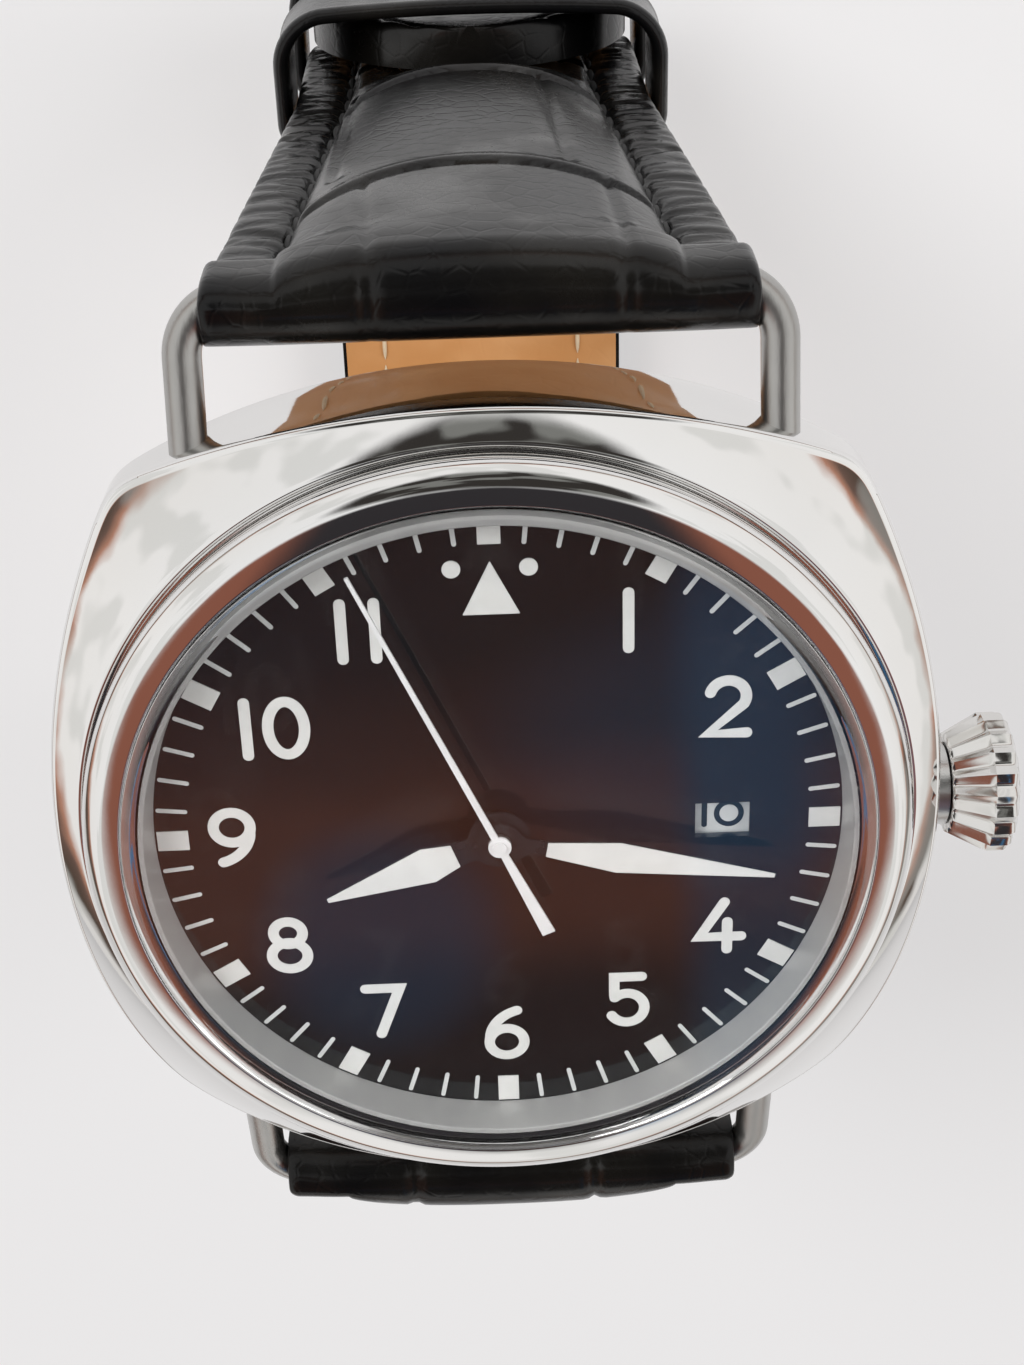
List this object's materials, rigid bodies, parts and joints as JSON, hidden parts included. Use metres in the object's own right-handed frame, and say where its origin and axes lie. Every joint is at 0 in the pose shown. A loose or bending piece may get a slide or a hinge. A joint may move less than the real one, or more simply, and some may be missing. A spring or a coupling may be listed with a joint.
{
  "type": "wristwatch",
  "caption": "Self-winding three-hand wristwatch with a polished cushion case, wire lugs, a conical fluted crown, date window and a closed padded leather strap.",
  "frame": {"origin": "on the rest plane, straight below the axis of the hands", "axes": "+Z out of the dial, +Y to twelve o'clock, +X to three o'clock and the crown"},
  "size_m": [0.0471, 0.0632, 0.069],
  "materials": {
    "polished_steel": "polished stainless steel",
    "steel": "fine turned stainless steel",
    "crystal": "clear, polished",
    "white_seal": "white sealing ring",
    "rubber": "black rubber",
    "black_dial": "glossy black lacquer",
    "lume": "white luminous paint",
    "white_print": "matt white",
    "hand_black": "black lacquer",
    "hand_white": "white lacquer",
    "movement_plate": "rhodium plated, fine grained",
    "brass": "gilt brass",
    "blued_steel": "heat blued steel",
    "jewel": "polished synthetic ruby",
    "holder": "grey moulded holder",
    "strap_black": "matt black, softly padded",
    "strap_lining": "natural tan"
  },
  "bodies": {
    "watch": {"case_body": "polished_steel", "bezel": "polished_steel", "crystal": "crystal", "crystal_gasket": "white_seal", "flange_ring": "steel", "crown_tube": "steel", "case_back": "steel", "case_back_gasket": "rubber", "lug_wire_upper": "polished_steel", "lug_wire_lower": "polished_steel", "dial": "black_dial", "hour_markers": "lume", "movement_ring": "holder", "main_plate": "movement_plate", "barrel_bridge": "movement_plate", "train_bridge": "movement_plate", "balance_cock": "movement_plate", "pallet_bridge": "movement_plate", "bridge_screws": "blued_steel", "jewel_bearings": "jewel", "hairspring": "blued_steel", "rotor_bearing": "steel", "strap_short_upper": "strap_black", "strap_short_lining": "strap_lining", "strap_long_upper": "strap_black", "strap_long_lining": "strap_lining", "fixed_keeper": "strap_black", "spring_bar": "steel"},
    "minute": {"minute_hand": "hand_black", "minute_hand_lume": "lume", "cannon_pinion": "steel"},
    "hour": {"hour_hand": "hand_black", "hour_hand_lume": "lume", "hour_wheel": "brass"},
    "minute_train": {"minute_wheel": "brass"},
    "seconds": {"seconds_hand": "hand_white", "fourth_wheel": "brass"},
    "third": {"third_wheel": "brass"},
    "centre": {"centre_wheel": "brass"},
    "barrel": {"mainspring_barrel": "brass"},
    "escape": {"escape_wheel": "brass"},
    "fork": {"pallet_fork": "steel"},
    "balance": {"balance_wheel": "brass"},
    "date": {"date_disc": "white_print"},
    "weight": {"rotor": "movement_plate"},
    "keyless": {"clutch_wheel": "steel", "winding_pinion": "steel"},
    "crown_stem": {"crown": "polished_steel", "crown_gasket": "rubber", "winding_stem": "steel"},
    "keeper": {"floating_keeper": "strap_black"},
    "buckle": {"buckle_frame": "polished_steel"},
    "tongue": {"buckle_tongue": "polished_steel"}
  },
  "joints": [
    {"name": "minute_hand_turn", "type": "hinge", "parent": "watch", "child": "minute", "pos_m": [0, 0, 0.06692], "axis": [0, 0, -1], "continuous": true},
    {"name": "hour_hand_turn", "type": "hinge", "parent": "watch", "child": "hour", "pos_m": [0, 0, 0.06662], "axis": [0, 0, -1], "continuous": true},
    {"name": "minute_wheel_turn", "type": "hinge", "parent": "watch", "child": "minute_train", "pos_m": [0.0012, 0.00208, 0.06462], "axis": [0, 0, -1], "continuous": true},
    {"name": "seconds_turn", "type": "hinge", "parent": "watch", "child": "seconds", "pos_m": [0, 0, 0.06732], "axis": [0, 0, -1], "continuous": true},
    {"name": "third_wheel_turn", "type": "hinge", "parent": "watch", "child": "third", "pos_m": [0.00321, -0.00383, 0.06062], "axis": [0, 0, -1], "continuous": true},
    {"name": "centre_wheel_turn", "type": "hinge", "parent": "watch", "child": "centre", "pos_m": [0, 0, 0.06102], "axis": [0, 0, -1], "continuous": true},
    {"name": "barrel_turn", "type": "hinge", "parent": "watch", "child": "barrel", "pos_m": [-0.00313, 0.00541, 0.06162], "axis": [0, 0, -1], "continuous": true},
    {"name": "escape_wheel_turn", "type": "hinge", "parent": "watch", "child": "escape", "pos_m": [-0.00275, -0.00393, 0.06142], "axis": [0, 0, -1], "continuous": true},
    {"name": "pallet_fork_swing", "type": "hinge", "parent": "watch", "child": "fork", "pos_m": [-0.00487, -0.00486, 0.06142], "axis": [0, 0, -1], "range_deg": [-4, 4]},
    {"name": "balance_swing", "type": "hinge", "parent": "watch", "child": "balance", "pos_m": [-0.00682, -0.00572, 0.06082], "axis": [0, 0, -1], "range_deg": [-135, 135], "stiffness_Nm_per_rad": 0.00000015},
    {"name": "date_turn", "type": "hinge", "parent": "watch", "child": "date", "pos_m": [0, 0, 0.06492], "axis": [0, 0, -1], "continuous": true},
    {"name": "weight_turn", "type": "hinge", "parent": "watch", "child": "weight", "pos_m": [0, 0, 0.05922], "axis": [0, 0, -1], "continuous": true},
    {"name": "crown_turn", "type": "hinge", "parent": "watch", "child": "keyless", "pos_m": [0.0085, 0, 0.06347], "axis": [1, 0, 0], "continuous": true},
    {"name": "crown_pull", "type": "slide", "parent": "keyless", "child": "crown_stem", "axis": [1, 0, 0], "range_m": [0, 0.0016]},
    {"name": "keeper_slide", "type": "slide", "parent": "watch", "child": "keeper", "axis": [0, 0.0523, -0.9986], "range_m": [-0.003, 0.005]},
    {"name": "buckle_frame_swing", "type": "hinge", "parent": "watch", "child": "buckle", "pos_m": [0, 0.02027, 0.00477], "axis": [1, 0, 0], "range_deg": [0, 5]},
    {"name": "buckle_tongue_swing", "type": "hinge", "parent": "buckle", "child": "tongue", "pos_m": [0, 0.02027, 0.00477], "axis": [1, 0, 0], "range_deg": [0, 3]}
  ],
  "couplings": [
    {"joint": "hour_hand_turn", "follows": "minute_hand_turn", "ratio": 0.083333},
    {"joint": "minute_wheel_turn", "follows": "minute_hand_turn", "ratio": -0.33333},
    {"joint": "third_wheel_turn", "follows": "seconds_turn", "ratio": -0.13333},
    {"joint": "centre_wheel_turn", "follows": "seconds_turn", "ratio": 0.016667},
    {"joint": "barrel_turn", "follows": "seconds_turn", "ratio": -0.0022727},
    {"joint": "escape_wheel_turn", "follows": "seconds_turn", "ratio": -9}
  ]
}
